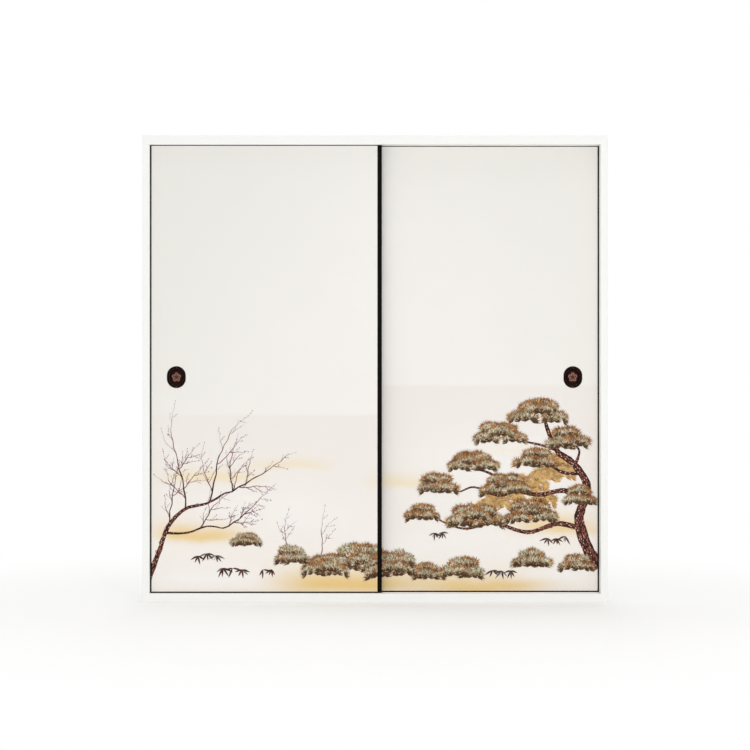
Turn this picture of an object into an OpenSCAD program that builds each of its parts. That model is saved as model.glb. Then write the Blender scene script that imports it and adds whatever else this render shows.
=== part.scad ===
// A pair of sliding paper doors in a four-sided timber frame with two tracks.
// The left door runs in the front track and the right door in the rear one.
// X runs left to right, -Y faces the viewer and Z is up.
// The origin is at the middle of the frame's underside.

/* [Opening] */
// Clear width between the two jambs
opening_w = 1768; // [1640:1:1900]
// Clear height from the sill to the head
opening_h = 1760; // [1700:1:1900]

/* [Frame] */
// Depth of the four frame members, front to back
frame_d = 105; // [95:1:130]
// Thickness of a jamb
jamb_t = 27; // [24:1:36]
// Thickness of the head
head_t = 36; // [32:1:48]
// Thickness of the sill
sill_t = 36; // [28:1:48]
// Chamfer along the long edges of the frame members
frame_chamfer = 1.5; // [0.5:0.25:3]
// Depth of the housing in a jamb for the end of the head or sill
housing_d = 5; // [3:0.5:7]

/* [Tracks] */
// Width of a groove in the head and sill
groove_w = 21; // [20:0.5:26]
// Width of the rib between the two grooves
rib_w = 12; // [9:0.5:18]
// Depth of the grooves in the head
head_groove_d = 15; // [12:0.5:18]
// Depth of the grooves in the sill
sill_groove_d = 3; // [2:0.25:4]
// Depth of the rebate in a jamb that hides the edge of a closed door
rebate_d = 12; // [8:0.5:14]
// Running clearance on each side of a door in its groove
slide_gap = 0.5; // [0.3:0.1:0.8]
// Clearance under a door, and where a door meets a jamb
rest_gap = 0.3; // [0.2:0.05:0.5]
// Room above a door in the head, which lets it be lifted out
lift_room = 6; // [5:0.5:8]

/* [Frame fixings] */
// Radius of the holes for the wall screws
fixing_hole_r = 2.75; // [2:0.25:3.5]
// Radius of the countersinks for the wall screws
fixing_sink_r = 5.5; // [4.5:0.25:7]
// Number of wall screws in each jamb
fixing_count = 4; // [3:1:6]
// Distance of the lowest wall screw from the sill, and of the highest from the head
fixing_end = 160; // [80:10:200]
// Radius of the corner screws
corner_screw_r = 2; // [1.5:0.25:2.5]
// Length of the corner screws
corner_screw_l = 60; // [45:1:75]
// Distance between neighbouring corner screws
corner_screw_pitch = 36; // [30:1:40]

/* [Door frame] */
// How far the two closed doors overlap
overlap_w = 54; // [40:1:70]
// Face width of a stile
stile_w = 17.5; // [15:0.5:24]
// Height of the top rail
top_rail_h = 12; // [10:0.5:22]
// Height of the bottom rail
bottom_rail_h = 8; // [7:0.5:18]
// Rounding of the stiles' and rails' long edges
lacquer_round = 1.5; // [0.5:0.25:3]

/* [Door core] */
// Thickness of the wooden lattice
core_t = 15; // [13:0.5:16]
// Width of the lattice's outer bars
edge_bar_w = 18; // [18:0.5:24]
// Width of the lattice's inner bars
bar_w = 10; // [8:0.5:14]
// Number of cross bars under the pull board
bars_below = 5; // [4:1:7]
// Number of cross bars over the pull board
bars_above = 6; // [4:1:7]
// Number of uprights between the side bars
upright_count = 3; // [2:1:3]
// Length of the tenons at the bars' ends
tenon_l = 6; // [4:0.5:7]
// Length of a corner plate's two short sides
corner_plate_l = 90; // [60:1:100]
// Thickness of a corner plate
corner_plate_t = 5; // [3:0.5:8]
// Height of the pull board
pull_board_h = 112; // [106:1:120]

/* [Paper] */
// Thickness of the underlay of glued sheets
underlay_t = 0.8; // [0.5:0.1:1.2]
// Thickness of the facing paper
facing_t = 0.4; // [0.3:0.05:0.6]
// How far the facing paper is turned over the lattice's edges
turn_in = 6; // [4:0.5:6.5]
// Thickness of one layer of the painted print
print_t = 0.1; // [0.05:0.05:0.15]

/* [Finger pull] */
// Height of the pulls above the sill
pull_height = 848; // [780:1:900]
// Distance from a door's outer edge to the middle of its pull
pull_inset = 115; // [95:1:130]
// Radius of the ring's rounded ends
ring_r = 37; // [35:0.5:40]
// Straight length between the ring's rounded ends
pull_straight = 12; // [6:0.5:20]
// Inner radius of the ring
ring_bore_r = 27; // [24:0.5:28]
// Height of the ring above the paper
ring_rise = 2.4; // [1.5:0.1:3]
// Thickness of the ring's collar
collar_t = 1.2; // [0.8:0.1:1.6]
// Depth of the ring's collar below the paper
collar_d = 2.5; // [1.5:0.1:4]
// Depth of the cup below the paper
cup_d = 7.6; // [6:0.1:8]
// Thickness of the cup's metal
cup_t = 0.8; // [0.6:0.05:1.2]
// Radius of the cup's floor at its rounded ends
cup_floor_r = 21; // [18:0.5:23]
// Radius of the blossom on the cup's floor
blossom_r = 18.5; // [17:0.5:19.5]
// Radius of one petal
petal_r = 7.25; // [6.75:0.25:8]
// Radius of the blossom's sunk eye
blossom_eye_r = 7.5; // [6:0.25:8]
// Height of the petals
petal_h = 1.2; // [0.6:0.1:2]
// Small clearance between fitted metal pieces
fit_gap = 0.1; // [0.05:0.05:0.2]

/* [Nails] */
// Radius of the shank of a stile's bent nail
bent_nail_r = 1; // [0.8:0.1:1.2]
// Number of bent nails in each stile
bent_nail_count = 7; // [5:1:9]
// Length that a bent nail reaches into the core
bent_nail_grip = 10; // [8:0.5:11]
// Length of a bent nail's upturned tip
bent_nail_tip = 8; // [6:0.5:10]
// Radius of the rails' nails
rail_nail_r = 0.9; // [0.7:0.1:1.2]
// Length that a rail's nail reaches into the core
rail_nail_grip = 14; // [10:0.5:16]
// Radius of a pull's nails
pull_nail_r = 0.6; // [0.5:0.05:0.8]
// Length of a pull's nails
pull_nail_l = 6.5; // [5:0.25:7]

/* [Hidden] */
$fn = 64;
EPS = 1;

// The left door is the front one. The right door is its mirror image, in the rear track
LEFT = -1;
RIGHT = 1;

// Frame
frame_w = opening_w + 2 * jamb_t;
frame_h = sill_t + opening_h + head_t;
member_l = opening_w + 2 * housing_d;
fixing_pitch = (opening_h - 2 * fixing_end) / (fixing_count - 1);
track_pitch = groove_w + rib_w;
head_z = sill_t + opening_h;

// Doors
door_t = groove_w - 2 * slide_gap;
nest = rebate_d - rest_gap;
door_w = (opening_w + overlap_w) / 2 + nest;
door_x = opening_w / 2 + nest - door_w / 2;
door_z = sill_t - sill_groove_d + rest_gap;
door_h = opening_h + sill_groove_d - rest_gap + head_groove_d - lift_room;
rail_l = door_w - 2 * stile_w;

// Core and papers
core_w = rail_l - 2 * facing_t;
core_z0 = bottom_rail_h + facing_t;
core_h = door_h - bottom_rail_h - top_rail_h - 2 * facing_t;
under_y = core_t / 2;
facing_y = under_y + underlay_t;
paper_y = facing_y + facing_t;
tenon_t = core_t / 3;

// Finger pull, in a door's own frame
pull_x = -door_w / 2 + pull_inset;
pull_z = pull_height + sill_t - door_z;
collar_r = ring_bore_r + collar_t;
pull_hole_r = collar_r + fit_gap;
pull_nail_at = (ring_r + collar_r) / 2;
cup_rim_r = ring_bore_r - fit_gap;
crest_r = ring_bore_r + (ring_r - ring_bore_r) * 0.45;
nail_head_r = 2.5 * pull_nail_r;

// Heights of the cross bars' undersides, in a door's own frame
board_z0 = pull_z - pull_board_h / 2;
board_z1 = pull_z + pull_board_h / 2;
low_pitch = (board_z0 - core_z0 - edge_bar_w) / bars_below;
high_pitch = (core_z0 + core_h - edge_bar_w - board_z1) / bars_above;
bar_zs = concat(
    [for (i = [1 : bars_below]) core_z0 + edge_bar_w + i * low_pitch - bar_w],
    [for (i = [0 : bars_above - 1]) board_z1 + i * high_pitch]
);
upright_xs = [for (i = [1 : upright_count]) -core_w / 2 + i * core_w / (upright_count + 1)];

// Colours, as seen on the real doors
WHITE_WOOD = [0.93, 0.92, 0.89];
LACQUER = [0.05, 0.035, 0.03];
CEDAR = [0.8, 0.66, 0.47];
PAPER = [0.945, 0.93, 0.905];
UNDERLAY = [0.88, 0.85, 0.78];
BRONZE = [0.33, 0.22, 0.16];
STEEL = [0.55, 0.55, 0.55];
MIST_GOLD = [0.9, 0.78, 0.5];
BARK = [0.36, 0.2, 0.15];
NEEDLES = [0.4, 0.36, 0.22];

// Shared shapes

// A bar of rectangular section with rounded long edges, standing on its end
module rounded_bar(w, t, l, r) {
    linear_extrude(l)
        union() {
            square([w - 2 * r, t], center = true);
            square([w, t - 2 * r], center = true);
            for (sx = [-1, 1], sy = [-1, 1])
                translate([sx * (w / 2 - r), sy * (t / 2 - r)])
                    circle(r);
        }
}

// A slot with round ends, drawn upright
module round_slot(r, straight) {
    square([2 * r, straight], center = true);
    for (s = [-1, 1])
        translate([0, s * straight / 2])
            circle(r);
}

// A wall whose section follows a slot's outline: the children are the section, drawn at its radius
module slot_revolve(straight) {
    for (s = [0, 1])
        rotate([0, 0, s * 180])
            translate([0, straight / 2, 0])
                rotate_extrude(angle = 180)
                    children();
    for (s = [0, 1])
        rotate([90, 0, s * 180])
            translate([0, 0, -straight / 2])
                linear_extrude(straight)
                    children();
}

// Places a door's piece in its track, from the door's own frame
module in_door(side) {
    translate([side * door_x, side * track_pitch / 2, door_z])
        if (side == LEFT)
            children();
        else
            mirror([1, 0, 0])
                children();
}

// Turns a flat piece, drawn in X and Y, to stand on a door's face. A face of 1 is the front
module on_face(face) {
    rotate([90, 0, face == 1 ? 0 : 180])
        children();
}

// Frame

module head_profile() {
    c = frame_chamfer;
    d = frame_d / 2;
    difference() {
        polygon([
            [-d + c, 0], [d - c, 0], [d, c], [d, head_t - c],
            [d - c, head_t], [-d + c, head_t], [-d, head_t - c], [-d, c]
        ]);
        for (s = [-1, 1])
            translate([s * track_pitch / 2 - groove_w / 2, -EPS])
                square([groove_w, head_groove_d + EPS]);
    }
}

module sill_profile() {
    c = frame_chamfer;
    d = frame_d / 2;
    difference() {
        polygon([
            [-d + c, 0], [d - c, 0], [d, c], [d, sill_t - c],
            [d - c, sill_t], [-d + c, sill_t], [-d, sill_t - c], [-d, c]
        ]);
        for (s = [-1, 1])
            translate([s * track_pitch / 2 - groove_w / 2, sill_t - sill_groove_d])
                square([groove_w, sill_groove_d + EPS]);
    }
}

// Extrudes a section drawn in Y and Z along the whole width between the jambs
module along_opening() {
    translate([-member_l / 2, 0, 0])
        rotate([90, 0, 90])
            linear_extrude(member_l)
                children();
}

module corner_screw_axes() {
    for (z = [sill_t / 2, head_z + (head_t + head_groove_d) / 2], i = [-1 : 1])
        translate([0, i * corner_screw_pitch, z])
            children();
}

// One countersunk screw, with its head at the origin and its point along +X
module corner_screw(gap) {
    head_r = 2 * corner_screw_r;
    rotate([0, 90, 0]) {
        cylinder(h = corner_screw_r, r1 = head_r + gap, r2 = corner_screw_r + gap);
        cylinder(h = corner_screw_l - 2 * corner_screw_r + gap, r = corner_screw_r + gap);
        translate([0, 0, corner_screw_l - 2 * corner_screw_r + gap])
            cylinder(h = 2 * corner_screw_r, r1 = corner_screw_r + gap, r2 = 0.2);
    }
}

module all_corner_screws(gap) {
    for (turn = [0, 180])
        rotate([0, 0, turn])
            translate([-frame_w / 2, 0, 0])
                corner_screw_axes()
                    corner_screw(gap);
}

module head_track() {
    color(WHITE_WOOD)
        difference() {
            translate([0, 0, head_z])
                along_opening()
                    head_profile();
            all_corner_screws(fit_gap);
        }
}

module sill_track() {
    color(WHITE_WOOD)
        difference() {
            along_opening()
                sill_profile();
            all_corner_screws(fit_gap);
        }
}

module jamb_profile() {
    c = frame_chamfer;
    d = frame_d / 2;
    polygon([
        [-jamb_t, -d + c], [-jamb_t + c, -d], [-c, -d], [0, -d + c],
        [0, d - c], [-c, d], [-jamb_t + c, d], [-jamb_t, d - c]
    ]);
}

// The left jamb. The rebate lies in line with the track of the door that closes against it
module jamb(track_side) {
    difference() {
        translate([-opening_w / 2, 0, 0])
            linear_extrude(frame_h)
                jamb_profile();
        translate([-opening_w / 2 - housing_d, -frame_d, -EPS])
            cube([housing_d + EPS, 2 * frame_d, sill_t + EPS]);
        translate([-opening_w / 2 - housing_d, -frame_d, head_z])
            cube([housing_d + EPS, 2 * frame_d, head_t + EPS]);
        translate([
            -opening_w / 2 - rebate_d,
            track_side * track_pitch / 2 - groove_w / 2,
            sill_t - sill_groove_d
        ])
            cube([rebate_d + EPS, groove_w, opening_h + sill_groove_d + head_groove_d]);
        for (i = [0 : fixing_count - 1])
            translate([-frame_w / 2, 0, sill_t + fixing_end + i * fixing_pitch])
                rotate([0, 90, 0])
                    union() {
                        translate([0, 0, -EPS])
                            cylinder(h = jamb_t + 2 * EPS, r = fixing_hole_r);
                        translate([0, 0, jamb_t - fixing_sink_r + fixing_hole_r])
                            cylinder(
                                h = fixing_sink_r - fixing_hole_r,
                                r1 = fixing_hole_r,
                                r2 = fixing_sink_r
                            );
                    }
        all_corner_screws(fit_gap);
    }
}

module jamb_left() {
    color(WHITE_WOOD)
        jamb(LEFT);
}

module jamb_right() {
    color(WHITE_WOOD)
        mirror([1, 0, 0])
            jamb(RIGHT);
}

module corner_screws() {
    color(STEEL)
        all_corner_screws(0);
}

// Doors

// Places one thing at each bent nail of a stile: end is -1 for the outer stile and 1 for the meeting one
module at_bent_nails(end) {
    for (i = [0 : bent_nail_count - 1])
        translate([end * rail_l / 2, 0, door_h * (i + 0.5) / bent_nail_count])
            children();
}

module stile(end) {
    pocket = 2 * bent_nail_r + 2 * fit_gap;
    color(LACQUER)
        difference() {
            translate([end * (door_w - stile_w) / 2, 0, 0])
                rounded_bar(stile_w, door_t, door_h, lacquer_round);
            at_bent_nails(end)
                translate([end * 2 * bent_nail_r, 0, bent_nail_tip / 2])
                    cube([8 * bent_nail_r, pocket, bent_nail_tip + 6 * bent_nail_r], center = true);
        }
}

// A rail between the stiles, with its nails' holes
module rail(z0, h) {
    color(LACQUER)
        difference() {
            translate([-rail_l / 2, 0, z0 + h / 2])
                rotate([0, 90, 0])
                    rounded_bar(h, door_t, rail_l, lacquer_round);
            rail_nails(fit_gap);
        }
}

// Nails driven through the rails into the core's end bars, one in each bay, with their heads sunk
module rail_nails(gap) {
    head_r = 2 * rail_nail_r;
    ends = [
        [0, bottom_rail_h + facing_t + rail_nail_grip, 0],
        [door_h, top_rail_h + facing_t + rail_nail_grip, 180]
    ];
    for (e = ends, i = [0 : upright_count])
        translate([rail_l * ((i + 0.5) / (upright_count + 1) - 0.5), 0, e[0]])
            rotate([0, e[2], 0]) {
                translate([0, 0, lacquer_round - gap])
                    cylinder(h = rail_nail_r + gap, r = head_r + gap);
                translate([0, 0, lacquer_round])
                    cylinder(h = e[1] - lacquer_round + gap, r = rail_nail_r + gap);
                if (gap > 0)
                    translate([0, 0, -EPS])
                        cylinder(h = lacquer_round + EPS, r = head_r + gap);
            }
}

// Nails with upturned tips, driven into the core's sides, that the stiles slip over
module stile_nails(gap) {
    for (end = [-1, 1])
        at_bent_nails(end) {
            translate([-end * (facing_t + bent_nail_grip + gap), 0, 0])
                rotate([0, end * 90, 0])
                    cylinder(h = facing_t + bent_nail_grip + 3 * bent_nail_r + gap, r = bent_nail_r + gap);
            translate([end * 3 * bent_nail_r, 0, 0])
                sphere(bent_nail_r + gap);
            translate([end * 3 * bent_nail_r, 0, 0])
                cylinder(h = bent_nail_tip, r = bent_nail_r + gap);
        }
}

// The lattice's outer bars meet in half laps at the corners
module core_side_bars() {
    color(CEDAR)
        difference() {
            for (end = [-1, 1])
                translate([end * (core_w - edge_bar_w) / 2 - edge_bar_w / 2, -core_t / 2, core_z0])
                    cube([edge_bar_w, core_t, core_h]);
            for (z = [core_z0 - EPS, core_z0 + core_h - edge_bar_w])
                translate([-core_w / 2 - EPS, -core_t / 2 - EPS, z])
                    cube([core_w + 2 * EPS, core_t / 2 + EPS, edge_bar_w + EPS]);
            for (z = bar_zs)
                translate([-core_w / 2 + edge_bar_w - tenon_l, -tenon_t / 2, z])
                    cube([core_w - 2 * edge_bar_w + 2 * tenon_l, tenon_t, bar_w]);
            stile_nails(fit_gap);
        }
}

module core_end_bars() {
    color(CEDAR)
        difference() {
            for (z = [core_z0, core_z0 + core_h - edge_bar_w])
                translate([-core_w / 2, -core_t / 2, z])
                    cube([core_w, core_t, edge_bar_w]);
            for (end = [-1, 1])
                translate([
                    end * (core_w - edge_bar_w + EPS) / 2 - (edge_bar_w + EPS) / 2,
                    0,
                    core_z0 - EPS
                ])
                    cube([edge_bar_w + EPS, core_t, core_h + 2 * EPS]);
            for (x = upright_xs)
                translate([x - bar_w / 2, -tenon_t / 2, core_z0 + edge_bar_w - tenon_l])
                    cube([bar_w, tenon_t, core_h - 2 * edge_bar_w + 2 * tenon_l]);
            rail_nails(fit_gap);
        }
}

// A bar with a tenon on each end, lying along X with its middle at the origin
module tenoned_bar(l) {
    translate([-l / 2, -core_t / 2, 0])
        cube([l, core_t, bar_w]);
    translate([-l / 2 - tenon_l, -tenon_t / 2, 0])
        cube([l + 2 * tenon_l, tenon_t, bar_w]);
}

// The cross bars are notched in front, and the uprights behind, where they cross
module core_cross_bars() {
    color(CEDAR)
        difference() {
            for (z = bar_zs)
                translate([0, 0, z])
                    tenoned_bar(core_w - 2 * edge_bar_w);
            for (x = upright_xs)
                translate([x - bar_w / 2, -core_t / 2 - EPS, core_z0])
                    cube([bar_w, core_t / 2 + EPS, core_h]);
        }
}

module core_uprights() {
    color(CEDAR)
        difference() {
            for (x = upright_xs)
                translate([x + bar_w / 2, 0, core_z0 + core_h / 2])
                    rotate([0, -90, 0])
                        tenoned_bar(core_h - 2 * edge_bar_w);
            for (z = bar_zs)
                translate([-core_w / 2, 0, z])
                    cube([core_w, core_t / 2 + EPS, bar_w]);
        }
}

// Triangular boards that keep the lattice square
module corner_plates() {
    x1 = core_w / 2 - edge_bar_w;
    z0 = core_z0 + edge_bar_w;
    z1 = core_z0 + core_h - edge_bar_w;
    l = corner_plate_l;
    color(CEDAR)
        for (sx = [-1, 1], corner = [[z0, 1], [z1, -1]])
            translate([sx * x1, corner_plate_t / 2, corner[0]])
                rotate([90, 0, 0])
                    linear_extrude(corner_plate_t)
                        polygon([[0, 0], [-sx * l, 0], [0, corner[1] * l]]);
}

// Puts a part of the pull in its place on one face of a door
module at_pull(face) {
    translate([pull_x, -face * paper_y, pull_z])
        on_face(face)
            children();
}

// The pull's hole, right through the door
module pull_hole() {
    translate([pull_x, paper_y + EPS, pull_z])
        rotate([90, 0, 0])
            linear_extrude(2 * paper_y + 2 * EPS)
                round_slot(pull_hole_r, pull_straight);
    pull_nails(fit_gap);
}

module pull_board() {
    x0 = -core_w / 2 + edge_bar_w;
    color(CEDAR)
        difference() {
            translate([x0, -core_t / 2, board_z0])
                cube([upright_xs[0] - bar_w / 2 - x0, core_t, pull_board_h]);
            pull_hole();
        }
}

module underlay(face) {
    color(UNDERLAY)
        difference() {
            translate([-core_w / 2, face == 1 ? -under_y - underlay_t : under_y, core_z0])
                cube([core_w, underlay_t, core_h]);
            pull_hole();
        }
}

// The facing paper covers one side and is turned over the lattice's four edges
module facing(face) {
    color(PAPER)
        difference() {
            translate([-rail_l / 2, face == 1 ? -paper_y : facing_y - turn_in, bottom_rail_h])
                cube([rail_l, facing_t + turn_in, core_h + 2 * facing_t]);
            translate([
                -core_w / 2,
                face == 1 ? -facing_y : facing_y - turn_in - EPS,
                core_z0
            ])
                cube([core_w, turn_in + EPS, core_h]);
            pull_hole();
        }
}

// The ring stands on the paper, and its collar lines the hole
module pull_ring(face) {
    edge = 0.4;
    color(LACQUER)
        difference() {
            at_pull(face)
                slot_revolve(pull_straight)
                    polygon([
                        [ring_bore_r, -collar_d],
                        [collar_r, -collar_d],
                        [collar_r, 0],
                        [ring_r, 0],
                        [ring_r, edge],
                        [ring_r - edge, ring_rise * 0.55],
                        [crest_r + 1.5, ring_rise],
                        [crest_r - 1.5, ring_rise],
                        [ring_bore_r, ring_rise * 0.4]
                    ]);
            pull_nails(fit_gap);
        }
}

// The stamped cup, with five raised petals around a sunk eye on its floor
module pull_cup(face) {
    floor_z = -cup_d;
    top_z = ring_rise * 0.4;
    foot_r = cup_floor_r + cup_t;
    lip = cup_t;
    color(BRONZE)
        at_pull(face) {
            slot_revolve(pull_straight)
                polygon([
                    [0, floor_z],
                    [cup_floor_r, floor_z],
                    [foot_r + cup_t, floor_z + 1.5 * cup_t],
                    [cup_rim_r, -collar_d],
                    [cup_rim_r, top_z],
                    [cup_rim_r - lip, top_z],
                    [cup_rim_r - lip, -collar_d],
                    [foot_r, floor_z + 2 * cup_t],
                    [cup_floor_r - cup_t, floor_z + cup_t],
                    [0, floor_z + cup_t]
                ]);
            translate([0, 0, floor_z + cup_t / 2])
                blossom(cup_t / 2 + petal_h);
        }
}

module blossom(h) {
    difference() {
        at_petals()
            cylinder(h = h, r = petal_r);
        at_petals()
            translate([0, 0, h - petal_h / 2])
                cylinder(h = petal_h, r = petal_r * 0.45);
        translate([0, 0, -EPS])
            cylinder(h = h + 2 * EPS, r = blossom_eye_r);
    }
}

module at_petals() {
    for (i = [0 : 4])
        rotate([0, 0, 90 + i * 72])
            translate([blossom_r - petal_r, 0, 0])
                children();
}

// Two round-headed nails hold each pull, above and below its cup
module pull_nails(gap) {
    seat_z = ring_rise * 0.8;
    for (face = [1, -1], s = [-1, 1])
        at_pull(face)
            translate([0, s * (pull_straight / 2 + pull_nail_at), 0]) {
                translate([0, 0, -pull_nail_l - gap])
                    cylinder(h = pull_nail_l + seat_z + gap, r = pull_nail_r + gap);
                intersection() {
                    translate([0, 0, seat_z])
                        sphere(nail_head_r + gap);
                    translate([-2 * nail_head_r, -2 * nail_head_r, seat_z - gap])
                        cube(4 * nail_head_r);
                }
            }
}

// The print on the doors' front faces. It is drawn across both doors in one plane:
// X from the middle of the opening and Y up from the sill. It shows simple
// traditional garden shapes: pine boughs, low shrubs, bare twigs, leaves and mist.

// Bands of gold mist with round ends, as [middle, height, length, thickness]
MIST_BANDS = [
    [-640, 452, 330, 30], [-330, 500, 250, 24], [-690, 222, 300, 44], [-120, 26, 560, 40],
    [150, 428, 300, 34], [420, 24, 480, 36], [690, 250, 300, 46], [560, 560, 260, 22]
];
// Pine boughs and low shrubs, as [middle, foot, width, height]
FOLIAGE = [
    [648, 668, 236, 102], [494, 586, 216, 96], [762, 570, 186, 92], [634, 494, 176, 82],
    [386, 476, 206, 90], [516, 386, 216, 92], [246, 392, 176, 80], [804, 348, 146, 82],
    [616, 272, 226, 98], [398, 254, 236, 102], [190, 284, 156, 76], [-60, 86, 236, 122],
    [-190, 64, 196, 106], [70, 56, 226, 118], [-330, 116, 156, 80], [210, 50, 146, 76],
    [352, 56, 186, 104], [-506, 186, 126, 62], [612, 98, 176, 80], [800, 82, 156, 78]
];
// Limbs and twigs as [points, start width, end width]
LIMBS = [
    [[[884, 96], [830, 190], [806, 300], [838, 410], [790, 500], [716, 560], [682, 640],
        [664, 706]], 50, 9],
    [[[824, 350], [748, 400], [650, 384], [560, 404], [450, 470], [380, 486]], 22, 6],
    [[[566, 402], [486, 380], [392, 414], [330, 396], [262, 408]], 10, 4],
    [[[812, 470], [748, 470], [690, 500], [640, 512]], 16, 6],
    [[[716, 560], [640, 584], [540, 600]], 12, 5],
    [[[790, 500], [806, 556], [780, 590]], 12, 5],
    [[[812, 250], [720, 270], [600, 236], [470, 272], [350, 250], [240, 290]], 22, 5],
    [[[-908, 10], [-880, 82], [-846, 170], [-812, 262], [-746, 330], [-660, 352],
        [-590, 392]], 26, 6],
    [[[-826, 236], [-740, 236], [-660, 262], [-600, 254]], 10, 4],
    [[[-590, 392], [-534, 436], [-490, 440], [-430, 486]], 5, 2],
    [[[-650, 356], [-636, 430], [-650, 480], [-604, 560]], 5, 2],
    [[[-746, 330], [-770, 400], [-760, 470], [-800, 530]], 5, 2],
    [[[-600, 254], [-540, 290], [-500, 286], [-460, 330]], 4, 2],
    [[[-212, 150], [-204, 200], [-178, 262]], 3, 2],
    [[[-346, 176], [-358, 224], [-344, 272]], 3, 2]
];
// Sprigs of bamboo grass, as [middle x, middle y, leaf length]
SPRIGS = [
    [-660, 150, 42], [-560, 92, 44], [-424, 88, 40], [500, 84, 42], [716, 214, 40], [250, 232, 36]
];

module mist_2d() {
    for (m = MIST_BANDS)
        translate([m[0], m[1]])
            rotate([0, 0, 90])
                round_slot(m[3] / 2, m[2] - m[3]);
}

// One bough or shrub: round lobes over a flat foot, highest in the middle
module bough(w, h) {
    r = 0.32 * h;
    steps = ceil((w - 2 * r) / (1.5 * r));
    for (i = [0 : steps]) {
        t = 2 * i / steps - 1;
        translate([t * (w / 2 - r), r + 0.36 * h * (1 - t * t)])
            circle(r);
    }
    translate([r - w / 2, 0.35 * r])
        square([w - 2 * r, 1.1 * r]);
}

module foliage_2d() {
    for (f = FOLIAGE)
        translate([f[0], f[1]])
            bough(f[2], f[3]);
}

// The point on one side of a limb at its point i
function limb_side(l, i, s) =
    let (
        p = l[0],
        n = len(p) - 1,
        d = p[min(i + 1, n)] - p[max(i - 1, 0)],
        half = (l[1] + (l[2] - l[1]) * i / n) / 2
    )
    p[i] + s * half * [-d[1], d[0]] / norm(d);

module limb(l) {
    n = len(l[0]) - 1;
    polygon(concat(
        [for (i = [0 : n]) limb_side(l, i, 1)],
        [for (i = [n : -1 : 0]) limb_side(l, i, -1)]
    ));
}

// A pointed leaf, the part that two large discs share
module leaf(l) {
    w = l * 0.2;
    r = (l * l + w * w) / (4 * w);
    translate([0, l / 2])
        intersection() {
            translate([r - w / 2, 0])
                circle(r);
            translate([w / 2 - r, 0])
                circle(r);
        }
}

// The leaves droop in three tufts, side by side
module branches_2d() {
    for (l = LIMBS)
        limb(l);
    for (s = SPRIGS, k = [-1 : 1], a = [112, 146, 180, -146, -112])
        translate([s[0] + k * s[2] * 0.86, s[1]])
            rotate([0, 0, a])
                leaf(s[2] * 0.8);
}

// Lays one layer of the print on a door's facing paper, cut to the paper's edges
module print_layer(side, level) {
    translate([0, side * track_pitch / 2 - paper_y - level * print_t, sill_t])
        rotate([90, 0, 0])
            linear_extrude(print_t)
                intersection() {
                    children();
                    translate([side * door_x - rail_l / 2, door_z - sill_t + bottom_rail_h])
                        square([rail_l, core_h + 2 * facing_t]);
                }
}

module print_mist(side) {
    color(MIST_GOLD)
        print_layer(side, 0)
            mist_2d();
}

module print_branches(side) {
    color(BARK)
        print_layer(side, 1)
            branches_2d();
}

module print_foliage(side) {
    color(NEEDLES)
        print_layer(side, 2)
            foliage_2d();
}

head_track();
sill_track();
jamb_left();
jamb_right();
corner_screws();
in_door(LEFT) stile(-1);  // left_stile_outer
in_door(LEFT) stile(1);  // left_stile_meeting
in_door(LEFT) rail(door_h - top_rail_h, top_rail_h);  // left_top_rail
in_door(LEFT) rail(0, bottom_rail_h);  // left_bottom_rail
in_door(LEFT) core_side_bars();  // left_core_side_bars
in_door(LEFT) core_end_bars();  // left_core_end_bars
in_door(LEFT) core_cross_bars();  // left_core_cross_bars
in_door(LEFT) core_uprights();  // left_core_uprights
in_door(LEFT) corner_plates();  // left_corner_plates
in_door(LEFT) pull_board();  // left_pull_board
in_door(LEFT) underlay(1);  // left_underlay_front
in_door(LEFT) underlay(-1);  // left_underlay_back
in_door(LEFT) facing(1);  // left_facing_front
in_door(LEFT) facing(-1);  // left_facing_back
in_door(LEFT) pull_ring(1);  // left_pull_ring_front
in_door(LEFT) pull_cup(1);  // left_pull_cup_front
in_door(LEFT) pull_ring(-1);  // left_pull_ring_back
in_door(LEFT) pull_cup(-1);  // left_pull_cup_back
in_door(LEFT) color(BRONZE) pull_nails(0);  // left_pull_nails
in_door(LEFT) color(STEEL) stile_nails(0);  // left_stile_nails
in_door(LEFT) color(STEEL) rail_nails(0);  // left_rail_nails
print_mist(LEFT);  // left_print_mist
print_branches(LEFT);  // left_print_branches
print_foliage(LEFT);  // left_print_foliage
in_door(RIGHT) stile(-1);  // right_stile_outer
in_door(RIGHT) stile(1);  // right_stile_meeting
in_door(RIGHT) rail(door_h - top_rail_h, top_rail_h);  // right_top_rail
in_door(RIGHT) rail(0, bottom_rail_h);  // right_bottom_rail
in_door(RIGHT) core_side_bars();  // right_core_side_bars
in_door(RIGHT) core_end_bars();  // right_core_end_bars
in_door(RIGHT) core_cross_bars();  // right_core_cross_bars
in_door(RIGHT) core_uprights();  // right_core_uprights
in_door(RIGHT) corner_plates();  // right_corner_plates
in_door(RIGHT) pull_board();  // right_pull_board
in_door(RIGHT) underlay(1);  // right_underlay_front
in_door(RIGHT) underlay(-1);  // right_underlay_back
in_door(RIGHT) facing(1);  // right_facing_front
in_door(RIGHT) facing(-1);  // right_facing_back
in_door(RIGHT) pull_ring(1);  // right_pull_ring_front
in_door(RIGHT) pull_cup(1);  // right_pull_cup_front
in_door(RIGHT) pull_ring(-1);  // right_pull_ring_back
in_door(RIGHT) pull_cup(-1);  // right_pull_cup_back
in_door(RIGHT) color(BRONZE) pull_nails(0);  // right_pull_nails
in_door(RIGHT) color(STEEL) stile_nails(0);  // right_stile_nails
in_door(RIGHT) color(STEEL) rail_nails(0);  // right_rail_nails
print_mist(RIGHT);  // right_print_mist
print_branches(RIGHT);  // right_print_branches
print_foliage(RIGHT);  // right_print_foliage
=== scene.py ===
import math
import random

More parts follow.
